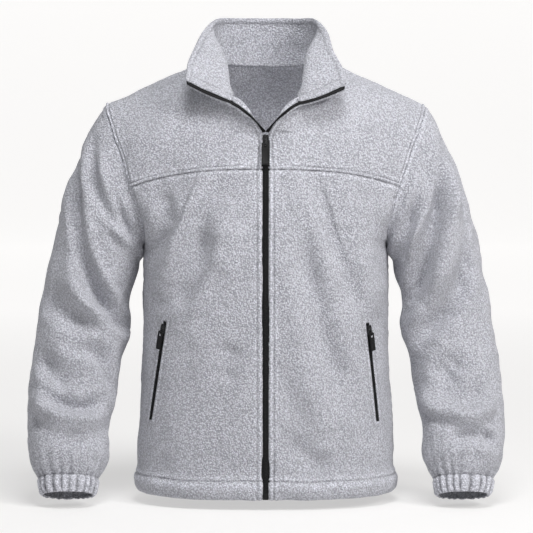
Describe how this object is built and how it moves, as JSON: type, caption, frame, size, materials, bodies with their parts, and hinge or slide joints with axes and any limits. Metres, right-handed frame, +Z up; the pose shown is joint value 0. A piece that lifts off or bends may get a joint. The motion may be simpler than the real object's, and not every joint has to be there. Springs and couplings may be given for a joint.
{
  "type": "fleece zip jacket",
  "caption": "Hip-length fleece jacket with a full front zip, open stand collar, chest yoke, zipped side pockets and gathered cuffs, filled out with nobody in it.",
  "frame": {"origin": "midway between the two points where the shoulder seams meet the neck seam", "axes": "+Z up, the front faces -Y, the wearer's left side is +X"},
  "size_m": [0.7576, 0.278, 0.7632],
  "materials": {
    "fleece": "brushed fleece with a short pebbled pile",
    "zip_tape": "coil zip, satin",
    "slider": "satin black",
    "pull": "moulded, satin"
  },
  "bodies": {
    "jacket": {"front_left": "fleece", "front_right": "fleece", "yoke_left": "fleece", "yoke_right": "fleece", "back": "fleece", "sleeve_left": "fleece", "sleeve_right": "fleece", "collar": "fleece", "cuff_left": "fleece", "cuff_right": "fleece", "zip_chain": "zip_tape", "zip_edge_left": "zip_tape", "zip_edge_right": "zip_tape", "pocket_zip_left": "zip_tape", "pocket_zip_right": "zip_tape", "zip_slider": "slider", "pocket_slider_left": "slider", "pocket_slider_right": "slider"},
    "main_pull": {"main_pull": "pull"},
    "pocket_pull_left": {"pocket_pull_left": "pull"},
    "pocket_pull_right": {"pocket_pull_right": "pull"}
  },
  "joints": [
    {"name": "main_pull_hinge", "type": "hinge", "parent": "jacket", "child": "main_pull", "pos_m": [0, -0.12538, -0.1268], "axis": [-1, 0, 0], "range_deg": [0, 165]},
    {"name": "pocket_pull_left_hinge", "type": "hinge", "parent": "jacket", "child": "pocket_pull_left", "pos_m": [0.16665, -0.09242, -0.42702], "axis": [-0.7281, -0.6631, -0.1738], "range_deg": [0, 165]},
    {"name": "pocket_pull_right_hinge", "type": "hinge", "parent": "jacket", "child": "pocket_pull_right", "pos_m": [-0.16537, -0.09248, -0.42456], "axis": [-0.7154, 0.6723, 0.1904], "range_deg": [0, 165]}
  ]
}
